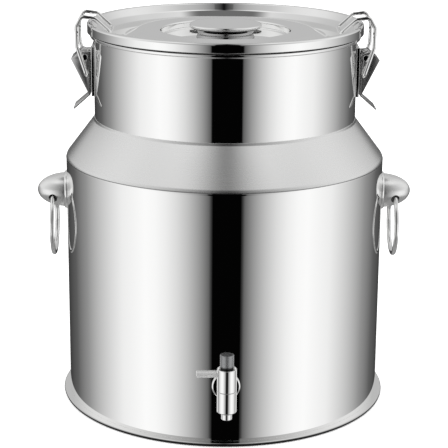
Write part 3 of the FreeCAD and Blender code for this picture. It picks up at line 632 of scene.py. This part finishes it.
# A folded or turned part: the frame's own shape with its edges eased.
def pressed(name, node, body, material, edge=ease["edge"]):
    shape = bmesh.new()
    shape.from_mesh(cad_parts[node].data)
    bmesh.ops.remove_doubles(shape, verts=shape.verts, dist=0.000005)
    bmesh.ops.dissolve_limit(shape, angle_limit=math.radians(1.0), verts=shape.verts, edges=shape.edges)
    mesh = bpy.data.meshes.new(name + "Draft")
    shape.to_mesh(mesh)
    shape.free()
    mesh.shade_smooth()
    draft = bpy.data.objects.new(name + "Draft", mesh)
    bpy.context.scene.collection.objects.link(draft)
    bevel = draft.modifiers.new("ease", "BEVEL")
    bevel.width = edge * mm
    bevel.segments = ease["steps"]
    bevel.limit_method = "ANGLE"
    bevel.angle_limit = math.radians(ease["sharpFrom"])
    bevel.use_clamp_overlap = True
    bevel.harden_normals = True
    bpy.context.view_layer.update()
    mesh = bpy.data.meshes.new_from_object(draft.evaluated_get(bpy.context.evaluated_depsgraph_get()))
    bpy.data.objects.remove(draft)
    mesh.materials.clear()
    mesh.materials.append(material)
    return keep(name, mesh, body, [node])


for side, sign in sides.items():
    pressed("claspBracket." + side, "latch_%s_bracket" % side, "can", steel)
    pressed("claspPin." + side, "latch_%s_pivot_pin" % side, "can", steel)
    pressed("claspLever." + side, "latch_%s_lever" % side, "latch_%s_lever_body" % side,
            fittingSteel)
    wire = treePiece("bail", bailPath(sign), False, bentWire, {
        "Wire Radius": clasp["wire"] * mm, "Bend Radius": clasp["bend"] * mm, "Bend Steps": 8,
        "Material": steel})
    wire.set_sharp_from_angle(angle=math.radians(50))
    keep("claspBail." + side, outwards(wire), "latch_%s_bail_body" % side,
         ["latch_%s_bail" % side])
print("clasps made")


pressed("tapLockNut", "tap_lock_nut", "can", steel)
pressed("knobScrew", "knob_screw", "lid", steel)
pressed("knobWasher", "knob_washer", "lid", steel, ease["fineEdge"])
pressed("tapOuterGasket", "tap_outer_gasket", "can", blackRubber)
pressed("tapInnerGasket", "tap_inner_gasket", "can", blackRubber)
pressed("tapSeal", "tap_o_ring", "tap_handle", blackRubber, ease["finestEdge"])
print("fixings made")


studio = {"floorSize": 30.0, "floorShade": 0.95, "floorRoughness": 0.8, "floorGlow": 0.45}


def makeFloor():
    half = studio["floorSize"] / 2
    mesh = bpy.data.meshes.new("floor")
    corners = [(-half, -half, 0), (half, -half, 0), (half, half, 0), (-half, half, 0)]
    mesh.from_pydata(corners, [], [(0, 1, 2, 3)])
    material, tree, shader = newMaterial("paleFloor")
    shader.inputs["Base Color"].default_value = grey(studio["floorShade"])
    shader.inputs["Roughness"].default_value = studio["floorRoughness"]
    shader.inputs["Specular IOR Level"].default_value = 0.0
    shader.inputs["Emission Color"].default_value = grey(1.0)
    shader.inputs["Emission Strength"].default_value = studio["floorGlow"]
    mesh.materials.append(material)
    floor = bpy.data.objects.new("floor", mesh)
    bpy.context.scene.collection.objects.link(floor)
    floor.visible_glossy = False


# A plain studio: a dark gap in front and a soft box on each side, by zones of
# height. Turns are degrees round from the front; a fade is a pair of sines of
# the height; near, peak and back are how bright a box is along its width.
surround = {
    "turn": -0.9, "softLight": 1.3, "gapGlow": 0.001, "edge": 0.5, "steps": 6,
    "under": {"gap": 0, "near": 0.02, "centre": 30, "peak": 0.3, "back": 0.3},
    "low": {"fade": (-0.62, -0.46), "gap": 11, "near": 0.1, "centre": 60, "peak": 1.0, "back": 0.05},
    "level": {"fade": (-0.245, -0.225), "gap": 13, "near": 0.1, "centre": 60, "peak": 1.0, "back": 0.05},
    "middle": {"fade": (0.0, 0.14), "gap": 10, "near": 0.15, "centre": 100, "peak": 0.8, "back": 0.5},
    "high": {"fade": (0.7, 0.83), "gap": 0, "near": 0.01, "centre": 50, "peak": 0.9, "back": 0.6},
    "top": {"fade": (0.93, 0.98), "gap": 0, "near": 0.15, "centre": 90, "peak": 0.15, "back": 0.15},
}


# One zone's light as (degrees, brightness): a quarter wave up to the middle of
# the box and a squared half wave down to the back, the same on both sides.
def boxLight(zone):
    first = zone["gap"] + surround["edge"]
    half = [(zone["gap"], surround["gapGlow"])] if zone["gap"] else []
    half.append((first, zone["near"]))
    shares = [(step + 1) / surround["steps"] for step in range(surround["steps"])]
    for share in shares:
        rise = math.sin(share * math.pi / 2)
        half.append((first + (zone["centre"] - first) * share,
                     zone["near"] + (zone["peak"] - zone["near"]) * rise))
    for share in shares:
        left = ((1 + math.cos(share * math.pi)) / 2) ** 2
        half.append((zone["centre"] + (180 - zone["centre"]) * share,
                     zone["back"] + (zone["peak"] - zone["back"]) * left))
    return [(-turn, light) for turn, light in reversed(half)] + half


# White soft boxes with a dark gap in front, as a steel can shows them.
def makeSurroundings():
    world = bpy.data.worlds.new("softStudio")
    bpy.context.scene.world = world
    world.use_nodes = True
    tree = world.node_tree
    tree.nodes.clear()
    way = addNode(tree, "ShaderNodeTexCoord").outputs["Generated"]
    height = addNode(tree, "ShaderNodeSeparateXYZ", {"Vector": way}).outputs["Z"]
    turned = addNode(tree, "ShaderNodeVectorRotate", {"Vector": way, "Angle": math.radians(surround["turn"])},
                     rotation_type="Z_AXIS")
    flat = addNode(tree, "ShaderNodeSeparateXYZ", {"Vector": turned.outputs[0]})
    front = addNode(tree, "ShaderNodeMath", {0: flat.outputs["Y"], 1: -1.0}, operation="MULTIPLY")
    angle = addNode(tree, "ShaderNodeMath", {0: flat.outputs["X"], 1: front.outputs[0]}, operation="ARCTAN2")
    share = addNode(tree, "ShaderNodeMapRange", {
        "Value": angle.outputs[0], "From Min": -math.pi, "From Max": math.pi})
    shade = ramp(tree, share.outputs[0], boxLight(surround["under"]))
    for name in ("low", "level", "middle", "high", "top"):
        zone = surround[name]
        start, stop = zone["fade"]
        rise = addNode(tree, "ShaderNodeMapRange", {
            "Value": height, "From Min": start, "From Max": stop}, interpolation_type="SMOOTHSTEP")
        shade = blend(tree, rise.outputs[0], shade, ramp(tree, share.outputs[0], boxLight(zone)))
    path = addNode(tree, "ShaderNodeLightPath")
    shade = blend(tree, path.outputs["Is Diffuse Ray"], shade, grey(surround["softLight"]))
    shade = blend(tree, path.outputs["Is Camera Ray"], shade, grey(1.0))
    light = addNode(tree, "ShaderNodeBackground", {"Color": shade, "Strength": 1.0})
    output = addNode(tree, "ShaderNodeOutputWorld")
    tree.links.new(light.outputs[0], output.inputs["Surface"])


# A colour ramp once round the can, from -180 to 180 degrees.
def ramp(tree, value, stops):
    node = addNode(tree, "ShaderNodeValToRGB", {"Fac": value})
    band = node.color_ramp
    while len(band.elements) < len(stops):
        band.elements.new(0.5)
    for element, (turn, light) in zip(band.elements, stops):
        element.position = (turn + 180) / 360
    for element, (turn, light) in zip(band.elements, stops):  # once all of them are in order
        element.color = grey(light)
    return node.outputs["Color"]


lens = {"distance": 1.6896, "height": 0.6715, "pitch": 15.85, "side": 1.1, "roll": 0.45, "focal": 125.4,
        "sensor": 36.0, "farthest": 100.0}


def makeCamera():
    data = bpy.data.cameras.new("camera")
    data.lens = lens["focal"]
    data.sensor_width = lens["sensor"]
    data.clip_end = lens["farthest"]
    camera = bpy.data.objects.new("camera", data)
    bpy.context.scene.collection.objects.link(camera)
    side = math.radians(lens["side"])
    camera.location = (-lens["distance"] * math.sin(side), -lens["distance"] * math.cos(side), lens["height"])
    look = (Matrix.Rotation(-side, 3, "Z") @ Matrix.Rotation(math.radians(90 - lens["pitch"]), 3, "X")
            @ Matrix.Rotation(math.radians(lens["roll"]), 3, "Z"))
    camera.rotation_euler = look.to_euler()
    bpy.context.scene.camera = camera


makeFloor()
makeSurroundings()
makeCamera()
bpy.context.scene.view_settings.view_transform = "Standard"
print("studio made")
